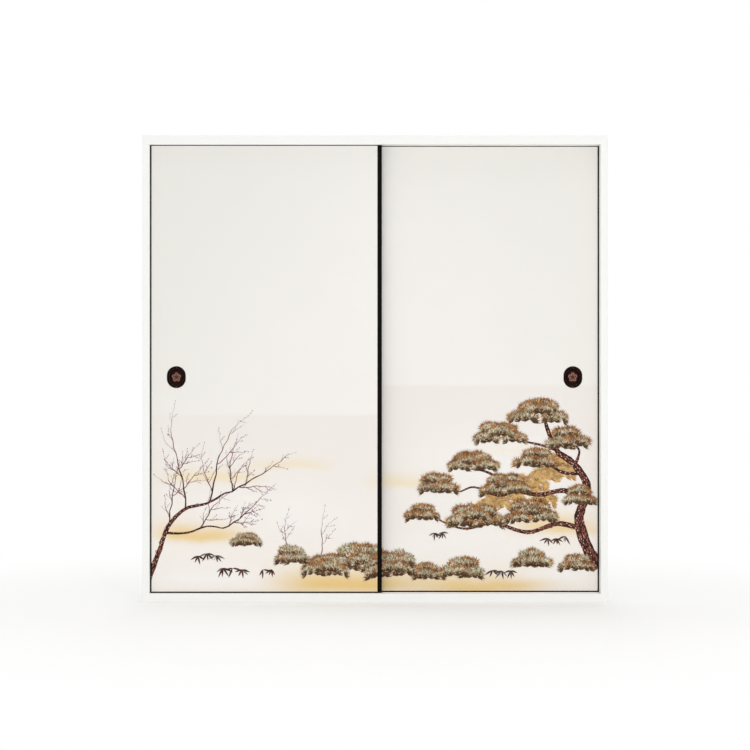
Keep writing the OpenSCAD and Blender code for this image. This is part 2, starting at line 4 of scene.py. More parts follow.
import bpy
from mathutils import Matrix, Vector

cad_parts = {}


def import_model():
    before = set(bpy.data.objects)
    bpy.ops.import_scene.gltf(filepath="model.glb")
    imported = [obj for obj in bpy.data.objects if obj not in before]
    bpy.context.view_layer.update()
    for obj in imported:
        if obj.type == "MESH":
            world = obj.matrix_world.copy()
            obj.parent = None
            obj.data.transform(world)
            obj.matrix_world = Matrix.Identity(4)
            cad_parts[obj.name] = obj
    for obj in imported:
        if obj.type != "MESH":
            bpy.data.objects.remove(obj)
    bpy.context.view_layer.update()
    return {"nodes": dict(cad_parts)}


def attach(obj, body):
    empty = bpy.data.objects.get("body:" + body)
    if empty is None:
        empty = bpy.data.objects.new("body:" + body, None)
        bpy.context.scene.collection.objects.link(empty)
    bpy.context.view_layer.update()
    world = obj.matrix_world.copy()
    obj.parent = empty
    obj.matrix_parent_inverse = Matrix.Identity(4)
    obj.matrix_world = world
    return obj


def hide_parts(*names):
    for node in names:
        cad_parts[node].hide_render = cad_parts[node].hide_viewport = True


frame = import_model()
nodes = frame["nodes"]


LEFT, RIGHT = -1, 1
SIDES = {LEFT: "left", RIGHT: "right"}

# Sizes in millimetres, as the part has them
MM = 1000.0  # in a metre
SILL = 36.0  # the sill's thickness
PITCH = 33.0  # from one track to the other
PAPER = 8.7  # from a door's middle plane to the face of its paper
PULL_X, PULL_Z = 780.7, 884.0  # a pull's middle, from the frame's middle and foot
PULL_STRAIGHT = 6.0  # half the straight part of a pull's oval

# The picture is drawn in the plane of the doors: x from the frame's middle, y up from the sill.
# These are the middle, half width, foot and top of a door's paper in it
DOOR_X, PAPER_HALF, PAPER_LOW, PAPER_TOP = 434.35, 443.85, 5.4, 1756.9
rnd = random.Random(11)


# Colours and nodes

def srgb(r, g, b):
    """The linear colour of a written one, with parts from 0 to 255."""
    def lin(c):
        c /= 255.0
        return c / 12.92 if c <= 0.04045 else ((c + 0.055) / 1.055) ** 2.4
    return (lin(r), lin(g), lin(b), 1.0)


class Tree:
    """Writes a material's nodes as short formulas."""

    def __init__(self, name):
        self.mat = bpy.data.materials.new(name)
        self.mat.use_nodes = True
        self.nt = self.mat.node_tree
        self.nt.nodes.clear()
        self.out = self.nt.nodes.new("ShaderNodeOutputMaterial")
        self.bsdf = self.nt.nodes.new("ShaderNodeBsdfPrincipled")
        self.nt.links.new(self.bsdf.outputs[0], self.out.inputs[0])
        self.co = self.nt.nodes.new("ShaderNodeTexCoord").outputs["Object"]

    def put(self, socket, value):
        """Links another node's output, or sets a constant."""
        if isinstance(value, bpy.types.NodeSocket):
            self.nt.links.new(value, socket)
        else:
            socket.default_value = value

    def set(self, **values):
        """Gives the main shader's inputs their values, with _ for each space in a name."""
        for name, value in values.items():
            self.put(self.bsdf.inputs[name.replace("_", " ")], value)

    def math(self, op, a, b=0.0, clamp=False):
        n = self.nt.nodes.new("ShaderNodeMath")
        n.operation = op
        n.use_clamp = clamp
        self.put(n.inputs[0], a)
        self.put(n.inputs[1], b)
        return n.outputs[0]

    def add(self, a, b):
        return self.math("ADD", a, b)

    def sub(self, a, b):
        return self.math("SUBTRACT", a, b)

    def mul(self, a, b):
        return self.math("MULTIPLY", a, b)

    def length(self, a, b):
        return self.math("SQRT", self.add(self.mul(a, a), self.mul(b, b)))

    def step(self, x, low, high):
        """0 at low and 1 at high, smoothly. The first may be the larger number."""
        n = self.nt.nodes.new("ShaderNodeMapRange")
        n.interpolation_type = "SMOOTHSTEP"
        if low <= high:
            n.inputs["From Min"].default_value = low
            n.inputs["From Max"].default_value = high
        else:
            n.inputs["From Min"].default_value = high
            n.inputs["From Max"].default_value = low
            n.inputs["To Min"].default_value = 1.0
            n.inputs["To Max"].default_value = 0.0
        self.put(n.inputs["Value"], x)
        return n.outputs[0]

    def mix(self, fac, a, b):
        n = self.nt.nodes.new("ShaderNodeMix")
        n.data_type = "RGBA"
        self.put(n.inputs[0], fac)
        self.put(n.inputs[6], a)
        self.put(n.inputs[7], b)
        return n.outputs[2]

    def noise(self, scale, detail=2.0, vec=None, rough=0.5):
        n = self.nt.nodes.new("ShaderNodeTexNoise")
        n.inputs["Scale"].default_value = scale
        n.inputs["Detail"].default_value = detail
        n.inputs["Roughness"].default_value = rough
        self.put(n.inputs["Vector"], vec or self.co)
        return n.outputs["Fac"]

    def stretched(self, scale, turn=(0.0, 0.0, 0.0)):
        """Coordinates for a noise that is drawn out where the scale is small."""
        n = self.nt.nodes.new("ShaderNodeMapping")
        n.inputs["Rotation"].default_value = turn
        n.inputs["Scale"].default_value = scale
        self.put(n.inputs["Vector"], self.co)
        return n.outputs[0]

    def xyz(self):
        n = self.nt.nodes.new("ShaderNodeSeparateXYZ")
        self.put(n.inputs[0], self.co)
        return n.outputs[0], n.outputs[1], n.outputs[2]

    def bump(self, height, distance, strength=1.0):
        n = self.nt.nodes.new("ShaderNodeBump")
        n.inputs["Strength"].default_value = strength
        n.inputs["Distance"].default_value = distance
        self.put(n.inputs["Height"], height)
        self.put(self.bsdf.inputs["Normal"], n.outputs[0])


# Materials

GOLD = srgb(233, 200, 128)
PALE_GOLD = srgb(240, 219, 170)
# Bands of mist as [middle x, y, half length, fade above, fade below, strength, colour]
MISTS = [
    [-640, 452, 250, 30, 20, 0.62, PALE_GOLD], [-330, 500, 210, 26, 16, 0.45, PALE_GOLD],
    [-700, 222, 260, 46, 20, 0.85, GOLD], [-120, 26, 420, 62, 30, 0.95, GOLD],
    [150, 428, 240, 40, 18, 0.6, PALE_GOLD], [430, 24, 420, 52, 30, 0.85, GOLD],
    [690, 250, 250, 50, 24, 0.75, GOLD], [560, 560, 220, 24, 18, 0.4, PALE_GOLD],
]
# Pale mist that lies over the gold: the same numbers without the colour
WHITES = [
    [-650, 60, 260, 34, 26, 0.75], [700, 70, 260, 36, 26, 0.7], [-420, 320, 330, 90, 80, 0.45],
    [420, 520, 430, 150, 150, 0.5], [250, 190, 480, 60, 60, 0.5], [-200, 300, 260, 90, 90, 0.4],
]
# A band of gold is left out of a door's paper where it stays this far past the frame's middle
MIST_REACH = 460
# The height in metres at which the picture's tinted ground begins, and how soft its edge is
GROUND_TOP = {LEFT: 0.700, RIGHT: 0.815}
GROUND_EDGE = 0.009
FIBRE_TURNS = 0.35, 1.5, 2.6  # the fibres' directions in radians


def paper(side, printed):
    """Fibrous white paper, with painted shade towards its top and outer edge, and the picture's
    ground and mist where it is printed.
    """
    t = Tree(f"paper_{SIDES[side]}_{'front' if printed else 'back'}")
    x, _, z = t.xyz()
    cloud = t.noise(3.1, 4.0)
    fibres = None
    for turn in FIBRE_TURNS:
        streak = t.noise(1.0, 2.0, t.stretched((60.0, 60.0, 1400.0), (0.0, turn, 0.0)), 0.6)
        streak = t.step(streak, 0.60, 0.78)
        fibres = streak if fibres is None else t.math("MAXIMUM", fibres, streak)
    grain = t.noise(900.0, 2.0)
    color = t.mix(cloud, srgb(240, 237, 232), srgb(245, 242, 238))
    # Painted shade: the paper is darkened towards the top and the outer edge of each door, more on
    # the left one
    painted_shade = t.step(t.add(t.mul(x, 0.5 * side), t.mul(z, 0.35)), 0.3, 1.0)
    color = t.mix(t.mul(painted_shade, 0.8 if side == LEFT else 0.5), color, srgb(231, 229, 223))
    if printed:
        up = t.sub(z, SILL / MM)
        wave = t.sub(t.noise(2.4, 3.0, t.stretched((1.0, 1.0, 2.5))), 0.5)
        mist_x = t.add(x, t.mul(wave, 0.22))
        mist_y = t.add(up, t.mul(t.sub(t.noise(4.0, 4.0), 0.5), 0.05))
        top = GROUND_TOP[side]
        ground = t.step(up, top + GROUND_EDGE, top - GROUND_EDGE)
        fade = t.step(up, 0.05, top)
        tone = t.mix(fade, srgb(244, 238, 231), srgb(237, 231, 225))
        color = t.mix(t.mul(ground, 0.75), color, tone)

        def band(color, cx, cy, half, above, below, strength, tint):
            away = t.math("ABSOLUTE", t.sub(mist_x, cx / MM))
            ends = t.step(away, half / MM, half / (4 * MM))
            dy = t.sub(mist_y, cy / MM)
            rise = t.mul(t.math("MAXIMUM", dy, 0.0), MM / above)
            fall = t.mul(t.math("MINIMUM", dy, 0.0), MM / below)
            off = t.add(rise, fall)
            body = t.math("EXPONENT", t.mul(t.mul(off, off), -1.0))
            return t.mix(t.mul(t.mul(ends, body), strength), color, tint)

        for mist in MISTS:
            cx, half = mist[0], mist[2]
            if side * cx + half > -MIST_REACH:
                color = band(color, *mist)
        for mist in WHITES:
            color = band(color, *mist, srgb(246, 243, 240))
    color = t.mix(t.mul(fibres, 0.10), color, srgb(255, 253, 250))
    t.set(Base_Color=color, Roughness=0.82, Specular_IOR_Level=0.25)
    t.bump(t.add(t.mul(grain, 0.5), t.mul(fibres, 0.5)), 0.0004, 0.5)
    return t.mat


def lacquer():
    t = Tree("black_lacquer")
    sweep = t.noise(14.0, 2.0, t.stretched((8.0, 8.0, 0.6)))
    color = t.mix(sweep, srgb(7, 3, 2), srgb(14, 8, 6))
    rough = t.add(0.15, t.mul(t.noise(38.0, 3.0), 0.14))
    t.set(Base_Color=color, Roughness=rough, Specular_IOR_Level=0.04)
    t.set(Coat_Weight=0.03, Coat_Roughness=0.08)
    t.bump(t.noise(180.0, 2.0), 0.0002, 0.25)
    return t.mat


def painted_wood():
    t = Tree("painted_timber")
    grain = t.noise(6.0, 5.0, t.stretched((3.0, 60.0, 60.0)), 0.6)
    grain_up = t.noise(6.0, 5.0, t.stretched((60.0, 60.0, 3.0)), 0.6)
    color = t.mix(grain, srgb(243, 243, 240), srgb(247, 247, 245))
    color = t.mix(t.mul(t.noise(2.2, 3.0), 0.5), color, srgb(241, 241, 238))
    rough = t.add(0.42, t.mul(grain, 0.16))
    t.set(Base_Color=color, Roughness=rough, Specular_IOR_Level=0.3)
    t.bump(t.add(grain, grain_up), 0.0004, 0.3)
    return t.mat


def cedar():
    t = Tree("softwood")
    grain = t.noise(5.0, 6.0, t.stretched((14.0, 14.0, 0.9)), 0.65)
    rings = t.step(grain, 0.42, 0.6)
    color = t.mix(rings, srgb(212, 178, 132), srgb(178, 134, 88))
    t.set(Base_Color=color, Roughness=t.add(0.55, t.mul(grain, 0.2)))
    t.bump(grain, 0.0005, 0.4)
    return t.mat


def soft_paper():
    t = Tree("underlay_sheets")
    color = t.mix(t.noise(40.0, 4.0), srgb(222, 213, 192), srgb(233, 226, 208))
    t.set(Base_Color=color, Roughness=0.9)
    t.bump(t.noise(500.0, 3.0), 0.0003, 0.5)
    return t.mat


def steel():
    t = Tree("wire_steel")
    scuff = t.noise(260.0, 3.0)
    color = t.mix(scuff, srgb(150, 150, 150), srgb(190, 190, 188))
    t.set(Base_Color=color, Roughness=t.add(0.3, t.mul(scuff, 0.2)), Metallic=1.0)
    return t.mat


def around_pull(t, side):
    """The radius in millimetres from the middle line of a door's pulls, and y in metres."""
    x, y, z = t.xyz()
    dx = t.mul(t.sub(x, side * PULL_X / MM), MM)
    dz = t.mul(t.sub(z, PULL_Z / MM), MM)
    away = t.math("MAXIMUM", t.sub(t.math("ABSOLUTE", dz), PULL_STRAIGHT), 0.0)
    return t.length(dx, away), y


def ring_metal(side):
    """Dark patina, worn along the ring's outer and inner edges."""
    t = Tree(f"pull_ring_{SIDES[side]}")
    r, _ = around_pull(t, side)
    worn = t.mul(t.step(t.noise(240.0, 4.0), 0.46, 0.66), 0.55)
    edge = t.add(t.step(r, 35.6, 36.8), t.step(r, 28.4, 27.3))
    color = t.mix(t.noise(60.0, 3.0), srgb(9, 3, 2), srgb(26, 11, 8))
    color = t.mix(t.mul(edge, worn), color, srgb(118, 84, 66))
    rough = t.add(0.3, t.mul(t.noise(120.0, 3.0), 0.22))
    t.set(Base_Color=color, Roughness=rough, Metallic=0.35, Specular_IOR_Level=0.08)
    t.bump(t.noise(300.0, 3.0), 0.0003, 0.4)
    return t.mat


def cup_metal(side, face):
    """Dark patina in the hollows, worn back to pale copper where fingers rub the raised ring."""
    t = Tree(f"pull_cup_{SIDES[side]}_{'front' if face == 1 else 'back'}")
    r, y = around_pull(t, side)
    plane = (side * PITCH / 2 - face * PAPER) / MM
    depth = t.mul(t.sub(y, plane), MM * face)
    raised = t.mul(t.step(depth, 6.5, 5.7), t.step(r, 21.5, 20.5))
    rub = t.add(0.45, t.mul(t.noise(150.0, 4.0), 0.8))
    color = t.mix(t.noise(70.0, 3.0), srgb(14, 4, 3), srgb(38, 17, 12))
    middle = t.step(r, 10.5, 8.0)
    color = t.mix(middle, color, srgb(74, 42, 30))
    color = t.mix(t.math("MULTIPLY", raised, rub, clamp=True), color, srgb(120, 89, 80))
    rough = t.add(0.34, t.mul(t.noise(110.0, 3.0), 0.25))
    t.set(Base_Color=color, Roughness=rough, Metallic=0.75, Specular_IOR_Level=0.15)
    t.bump(t.noise(350.0, 3.0), 0.0003, 0.4)
    return t.mat


def brass():
    t = Tree("dull_brass")
    age = t.noise(300.0, 3.0)
    color = t.mix(age, srgb(96, 70, 50), srgb(140, 108, 78))
    t.set(Base_Color=color, Roughness=t.add(0.32, t.mul(age, 0.2)), Metallic=0.9)
    return t.mat


def ink(name, a, b):
    """Printed ink: two near tints that drift into each other."""
    t = Tree(name)
    drift = t.step(t.noise(46.0, 3.0), 0.36, 0.64)
    color = t.mix(drift, srgb(*a), srgb(*b))
    t.set(Base_Color=color, Roughness=0.8, Specular_IOR_Level=0.2)
    return t.mat


# The picture, as flat closed strokes that stand on the paper

TINTS = {
    "wash_gold": ((218, 186, 124), (198, 160, 100)),
    "wash_brown": ((200, 154, 104), (172, 124, 82)),
    "wash_green": ((190, 178, 140), (156, 144, 106)),
    "wash_deep": ((114, 88, 60), (84, 62, 42)),
    "needle_dark": ((72, 50, 36), (98, 72, 50)),
    "needle_grey": ((200, 192, 164), (172, 162, 132)),
    "needle_pale": ((234, 228, 208), (216, 208, 186)),
    "needle_brown": ((150, 100, 64), (118, 76, 50)),
    "needle_gold": ((214, 170, 102), (188, 140, 78)),
    "bark_dark": ((70, 38, 34), (48, 26, 24)),
    "bark_red": ((154, 98, 82), (124, 72, 60)),
    "bark_pale": ((228, 200, 184), (206, 172, 154)),
    "twig_pale": ((186, 172, 186), (168, 146, 158)),
    "leaf_dark": ((70, 46, 42), (100, 72, 58)),
    "leaf_blue": ((132, 128, 134), (104, 98, 106)),
}
strokes = {(side, tint): [] for side in SIDES for tint in TINTS}
# A stroke's thickness in millimetres at level 0, and what each level adds
STROKE_T, LEVEL_T = 0.36, 0.01
SPECK = 0.3  # square millimetres under which what is left of a stroke is dropped
# The levels of the picture's parts. A higher level lies over a lower one
FAR_LEVEL, TWIG_LEVEL, BARE_LEVEL, LIMB_LEVEL, TRUNK_LEVEL = -26, 0, 4, 20, 22
BOUGH_LEVEL, GRASS_LEVEL = 26, 30
# What each order of a bough adds, its front row, each lobe in turn and each row of tufts
ORDER_STEP, FRONT_STEP, LOBE_STEP, ROW_STEP = 24, 14, 7, 5


def cut(points, axis, limit, keep):
    """The part of a flat outline above a limit on an axis, or below it where keep is -1."""
    out = []
    for i, p in enumerate(points):
        q = points[(i + 1) % len(points)]
        inside = (p[axis] - limit) * keep >= 0
        if inside:
            out.append(p)
        if inside != ((q[axis] - limit) * keep >= 0):
            k = (limit - p[axis]) / (q[axis] - p[axis])
            out.append((p[0] + k * (q[0] - p[0]), p[1] + k * (q[1] - p[1])))
    return out


def area(points):
    pairs = zip(points, points[1:] + points[:1])
    return 0.5 * sum(p[0] * q[1] - q[0] * p[1] for p, q in pairs)


def stroke(tint, points, level):
    """Adds one closed outline, cut to each door's paper."""
    for side in SIDES:
        low, high = side * DOOR_X - PAPER_HALF, side * DOOR_X + PAPER_HALF
        edges = (0, low, 1), (0, high, -1), (1, PAPER_LOW, 1), (1, PAPER_TOP, -1)
        found = points
        for edge in edges:
            found = cut(found, *edge)
        size = area(found)
        if abs(size) > SPECK:
            outline = found if size > 0 else found[::-1]
            strokes[side, tint].append((outline, STROKE_T + LEVEL_T * level))


def heading(angle):
    """The unit vector at an angle in degrees from straight up, to the right."""
    return math.sin(math.radians(angle)), math.cos(math.radians(angle))


def needle(tint, x, y, angle, start, end, width, level):
    """One tapered stroke from start to end along its heading, widest near its middle."""
    s, c = heading(angle)
    a, m, b = start, start + 0.45 * (end - start), end
    w = width / 2
    stroke(tint, [
        (x + s * a - c * w * 0.6, y + c * a + s * w * 0.6),
        (x + s * a + c * w * 0.6, y + c * a - s * w * 0.6),
        (x + s * m + c * w, y + c * m - s * w),
        (x + s * b, y + c * b),
        (x + s * m - c * w, y + c * m + s * w),
    ], level)


# Tufts as [wash, [needle tint, count, start, end, chance]]: the lit crest of a bough, its
# middle, its shaded foot, and foliage far off in the mist. Start and end are shares of a
# tuft's radius
TUFTS = {
    "crest": ["wash_brown", [
        ["needle_dark", 5, 0.10, 0.80, 0.6], ["needle_gold", 6, 0.30, 1.0, 0.7],
        ["needle_brown", 10, 0.25, 1.08, 0.9], ["needle_grey", 3, 0.20, 0.70, 0.4],
    ]],
    "middle": ["wash_green", [
        ["needle_dark", 7, 0.05, 0.98, 0.85], ["needle_grey", 8, 0.25, 0.95, 0.85],
        ["needle_pale", 5, 0.35, 0.90, 0.6], ["needle_brown", 4, 0.50, 1.06, 0.5],
    ]],
    "foot": ["wash_deep", [
        ["needle_dark", 11, 0.05, 1.0, 0.95], ["needle_grey", 4, 0.30, 0.95, 0.5],
        ["needle_brown", 5, 0.50, 1.05, 0.6],
    ]],
    "far": ["wash_gold", [
        ["needle_gold", 7, 0.10, 1.0, 0.9], ["wash_brown", 6, 0.20, 0.95, 0.75],
        ["wash_green", 4, 0.20, 0.85, 0.5], ["needle_brown", 3, 0.05, 0.60, 0.4],
    ]],
}
SPREAD = 84  # degrees that a tuft fans out to each side
RIM = 8  # steps in the outline of a tuft's wash
# The rows of tufts in a lobe, from its top down, as [kind, share of crests, height, half
# width, fall towards the ends, count]. The lengths are shares of the lobe's height and width
ROWS = [
    ["middle", 1.0, 0.74, 0.88, 0.62, 6], ["middle", 0.4, 0.50, 0.66, 0.40, 3],
    ["middle", 0.1, 0.30, 0.86, 0.30, 4], ["foot", 0.0, 0.04, 0.84, 0.16, 4],
]
LOBE_W = 74  # millimetres of a bough's width for each lobe in its front row


def fan(x, y, r, tilt, kind, level):
    """One tuft of needles that fan out from a point."""
    wash, layers = TUFTS[kind]
    rim = []
    for i in range(RIM + 1):
        s, c = heading(tilt + SPREAD * (2 * i / RIM - 1))
        q = r * rnd.uniform(0.56, 0.74)
        rim.append((x + q * s, y + q * c))
    stroke(wash, rim + [(x, y - 0.2 * r)], level)
    for k, (tint, count, start, end, chance) in enumerate(layers):
        for i in range(count):
            if rnd.random() < chance:
                angle = tilt + SPREAD * (2 * (i + rnd.uniform(0.1, 0.9)) / count - 1)
                first = r * start * rnd.uniform(0.8, 1.2)
                last = r * end * rnd.uniform(0.84, 1.06)
                needle(tint, x, y, angle, first, last, r * rnd.uniform(0.07, 0.115), level + 1 + k)


def lobe(cx, foot, w, h, lean, level, far, brown):
    """One rounded mass of tufts: a crest all around its top, a pale middle and a dark foot."""
    r = 0.225 * w
    for k, (kind, crests, rise, reach, bend, n) in enumerate(ROWS):
        for i in range(n):
            u = (2 * (i + 0.5) / n - 1) * reach + rnd.uniform(-0.07, 0.07)
            tuft = "crest" if rnd.random() < crests * brown else kind
            y = foot + h * (rise - bend * u * u) + rnd.uniform(-2.5, 2.5)
            radius = r * rnd.uniform(0.80, 1.16)
            tilt = 58 * u + lean + rnd.uniform(-12, 12)
            fan(cx + u * w / 2, y, radius, tilt, "far" if far else tuft, level + ROW_STEP * k)


def pad(cx, foot, w, h, order=0, far=False, arch=0.34, brown=0.9):
    """A bough or shrub of overlapping lobes, highest in the middle and drooping at its ends.

    A back row of lobes shows above and between those of the front row. arch is how far the
    middle rises over the ends as a share of the height, and brown scales the share of crests.
    """
    n = round(w / LOBE_W)
    size = w / (0.5 * n + 0.5)
    base = FAR_LEVEL if far else BOUGH_LEVEL + order * ORDER_STEP
    spots = [2 * i / (n - 1) - 1 for i in range(n)]
    back = [(a + b) / 2 for a, b in zip(spots, spots[1:])]
    arch *= 1.0 if n > 2 else 0.5
    for front, group in enumerate((back, sorted(spots, key=lambda t: rnd.random()))):
        for j, t in enumerate(group):
            up = arch * h * (1 - t * t)
            if not front:
                up += 0.31 * h * (1 - 0.6 * t * t)
            up += rnd.uniform(-0.06, 0.06) * h
            x = cx + t * (w - size) / 2 + rnd.uniform(-6, 6)
            width = size * rnd.uniform(0.86, 1.06)
            height = h * rnd.uniform(0.48, 0.60)
            level = base + front * FRONT_STEP + LOBE_STEP * (j % 3)
            lobe(x, foot + up, width, height, 16 * t, level, far, brown)


def along(points, steps=6):
    """A smooth line through the points."""
    out = []
    n = len(points)
    for i in range(n - 1):
        p = [points[max(0, i - 1)], points[i], points[i + 1], points[min(n - 1, i + 2)]]
        for j in range(steps):
            t = j / steps
            out.append(tuple(
                0.5 * (2 * p[1][k] + (p[2][k] - p[0][k]) * t
                       + (2 * p[0][k] - 5 * p[1][k] + 4 * p[2][k] - p[3][k]) * t * t
                       + (3 * p[1][k] - p[0][k] - 3 * p[2][k] + p[3][k]) * t ** 3)
                for k in (0, 1)))
    return out + [tuple(points[-1])]


def sides_of(line, w0, w1, rough=0.0):
    """The points on both sides of a line whose width runs from w0 to w1."""
    left, right = [], []
    n = len(line)
    for i, p in enumerate(line):
        a, b = line[max(0, i - 1)], line[min(n - 1, i + 1)]
        dx, dy = b[0] - a[0], b[1] - a[1]
        d = math.hypot(dx, dy) or 1.0
        w = (w0 + (w1 - w0) * i / (n - 1)) / 2
        wl, wr = (w * (1 + rnd.uniform(-rough, rough)) for _ in range(2))
        left.append((p[0] - dy / d * wl, p[1] + dx / d * wl))
        right.append((p[0] + dy / d * wr, p[1] - dx / d * wr))
    return left, right


def ribbon(tint, line, w0, w1, level, rough=0.0):
    """A long stroke along a line, in closed pieces of four steps each."""
    left, right = sides_of(line, w0, w1, rough)
    for i in range(0, len(line) - 1, 4):
        j = min(i + 4, len(line) - 1)
        stroke(tint, left[i:j + 1] + right[i:j + 1][::-1], level)


BARK_W = 9  # millimetres of a limb's width for each scale of bark across it
# The outline of a scale of bark, as shares of its half length and half width
SCALE = (1, 0.1), (0.4, 0.9), (-0.6, 0.8), (-1, -0.1), (-0.4, -0.9), (0.6, -0.8)


def limb(points, w0, w1, level):
    """A gnarled limb with scales of bark, paler on the side towards the light."""
    line = along(points)
    ribbon("bark_dark", line, w0, w1, level, 0.13)
    n = len(line)
    length = [0.0]
    for p, q in zip(line, line[1:]):
        length.append(length[-1] + math.hypot(q[0] - p[0], q[1] - p[1]))
    at, row = 4.0, 0
    while at < length[-1] - 4:
        i = max(j for j in range(n - 1) if length[j] <= at)
        p, q = line[i], line[i + 1]
        d = length[i + 1] - length[i]
        k = (at - length[i]) / d
        dx, dy = (q[0] - p[0]) / d, (q[1] - p[1]) / d
        w = w0 + (w1 - w0) * at / length[-1]
        plates = max(1, round(w / BARK_W))
        for m in range(plates):
            side = (m + 0.5 + 0.5 * (row % 2)) / plates - 0.5 + rnd.uniform(-0.05, 0.05)
            if abs(side) > 0.47 or rnd.random() < 0.12:
                continue
            cx = p[0] + dx * d * k - dy * w * side + rnd.uniform(-1.5, 1.5)
            cy = p[1] + dy * d * k + dx * w * side + rnd.uniform(-1.5, 1.5)
            lit = 0.25 + 0.9 * max(0.0, side * dy + 0.15)
            for tint, big, chance, up in (("bark_red", 1.0, 0.9, 1), ("bark_pale", 0.55, lit, 2)):
                if rnd.random() > chance:
                    continue
                lo = 0.36 * min(w / plates, BARK_W) * big
                hi = 5.6 * big * min(1.0, w / 12)
                rim = []
                for a, b in SCALE:
                    g = rnd.uniform(0.75, 1.15)
                    rim.append((
                        cx + dx * hi * a * g - dy * lo * b * g,
                        cy + dy * hi * a * g + dx * lo * b * g,
                    ))
                stroke(tint, rim, level + up)
        at += rnd.uniform(8, 10.5) * min(1.0, 0.3 + w / 20)
        row += 1


def bud(tint, x, y, r, level):
    """A small six-sided dot."""
    turn = rnd.uniform(0, 1)
    angles = [2 * math.pi * i / 6 + turn for i in range(6)]
    stroke(tint, [(x + r * math.cos(a), y + r * math.sin(a)) for a in angles], level)


def twig(x, y, angle, length, width, depth):
    """A bare knotty twig that forks as many times as its depth."""
    pts, a = [(x, y)], angle
    knots = 5 if depth > 1 else 3
    for i in range(knots):
        a += (-1) ** i * rnd.uniform(6, 20) - 0.05 * a
        s, c = heading(a)
        x += s * length / knots
        y += c * length / knots
        pts.append((x, y))
    tint = "bark_dark" if width > 4 else "bark_red" if width > 2.3 else "twig_pale"
    ribbon(tint, along(pts, 2), width, width * 0.6, TWIG_LEVEL, 0.2)
    if depth < 2:
        for p in pts[1:]:
            if rnd.random() < 0.6:
                tint = "twig_pale" if rnd.random() < 0.6 else "bark_red"
                x = p[0] + rnd.uniform(-2, 2)
                bud(tint, x, p[1] + 2, rnd.uniform(1.2, 2.6), TWIG_LEVEL + 1)
    if depth == 0:
        return
    for k in range(1, knots):
        if rnd.random() < 0.74:
            turn = (-1) ** k * rnd.uniform(26, 54)
            twig(*pts[k], a + turn, length * rnd.uniform(0.34, 0.62), width * 0.62, depth - 1)
    twig(*pts[-1], a + rnd.uniform(-16, 16), length * 0.6, width * 0.6, depth - 1)


def leaf(tint, x, y, angle, length, width, level):
    """A long leaf with a point at both ends, which sags the more the flatter it lies."""
    s, c = heading(angle)
    left, right = [], []
    for i in range(7):
        k = i / 6
        w = width / 2 * math.sin(math.pi * k ** 0.8) + (0.2 if i == 0 else 0.0)
        sag = -0.14 * length * k * k * abs(s)
        px, py = x + s * length * k, y + c * length * k + sag
        left.append((px - c * w, py + s * w))
        right.append((px + c * w, py - s * w))
    stroke(tint, left + right[::-1], level)


def grass(x, y, size, tufts):
    """Low bamboo grass: tufts of drooping leaves side by side."""
    for k in range(tufts):
        sx, sy = x + (k - (tufts - 1) / 2) * size * 0.86, y + rnd.uniform(-5, 7)
        stalk = along([(sx - 8, sy - 0.5 * size), (sx - 4, sy - 0.2 * size), (sx, sy)], 3)
        ribbon("leaf_dark", stalk, 0.9, 1.3, GRASS_LEVEL)
        for angle in (-112, -146, 176, 140, 106):
            if rnd.random() < 0.86:
                tint = "leaf_blue" if rnd.random() < 0.22 else "leaf_dark"
                angle += rnd.uniform(-12, 12)
                length = size * rnd.uniform(0.6, 0.95)
                leaf(tint, sx, sy, angle, length, size * 0.17, GRASS_LEVEL + 1)


# Foliage as [middle x, foot, width, height, order]: far off (with no order), on the pine,
# and low shrubs. A higher order lies over a lower one
FAR_FOLIAGE = [[600, 336, 250, 126], [712, 444, 180, 110], [470, 330, 130, 70]]
BOUGHS = [
    [648, 672, 230, 82, 0], [494, 590, 210, 76, 1], [762, 574, 180, 72, 2], [634, 498, 170, 64, 0],
    [386, 480, 200, 70, 1], [516, 390, 210, 72, 0], [246, 396, 170, 60, 1], [804, 352, 140, 64, 2],
    [616, 276, 220, 78, 1], [398, 258, 230, 82, 2], [190, 288, 150, 56, 1],
]
SHRUBS = [
    [-60, 92, 230, 104, 0], [-190, 70, 190, 86, 1], [70, 62, 220, 98, 2], [-330, 122, 150, 60, 1],
    [210, 56, 140, 58, 0], [352, 62, 180, 84, 1], [-506, 190, 120, 44, 0], [612, 104, 170, 62, 0],
    [800, 88, 150, 60, 1],
]
# Limbs as [points, start width, end width, level]: the pine's, then the bare tree's
PINE = [
    [[(884, 96), (830, 190), (806, 300), (838, 410), (790, 500), (716, 560), (682, 640),
      (664, 706)], 50, 9, TRUNK_LEVEL],
    [[(824, 350), (748, 400), (650, 384), (560, 404), (450, 470), (380, 486)], 22, 6, LIMB_LEVEL],
    [[(566, 402), (486, 380), (392, 414), (330, 396), (262, 408)], 10, 4, LIMB_LEVEL],
    [[(812, 470), (748, 470), (690, 500), (640, 512)], 16, 6, LIMB_LEVEL],
    [[(716, 560), (640, 584), (540, 600)], 12, 5, LIMB_LEVEL],
    [[(790, 500), (806, 556), (780, 590)], 12, 5, LIMB_LEVEL],
    [[(812, 250), (720, 270), (600, 236), (470, 272), (350, 250), (240, 290)], 22, 5, LIMB_LEVEL],
]
BARE_TREE = [
    [[(-908, 10), (-880, 82), (-846, 170), (-812, 262), (-746, 330), (-660, 352), (-590, 392)],
     26, 6, BARE_LEVEL],
    [[(-826, 236), (-740, 236), (-660, 262), (-600, 254)], 10, 4, BARE_LEVEL],
]
# Twigs as [x, y, angle, length, width, depth]. The last two stand in the shrubs
TWIGS = [
    [-590, 392, 62, 150, 6.4, 3], [-650, 356, 6, 190, 6.0, 3], [-746, 330, -14, 200, 6.0, 3],
    [-600, 254, 66, 130, 5.6, 3], [-690, 252, 26, 110, 4.4, 2], [-812, 262, -4, 150, 4.8, 2],
    [-560, 400, -16, 120, 4.6, 2], [-212, 150, 8, 100, 3.6, 2], [-346, 176, -12, 84, 3.4, 2],
]
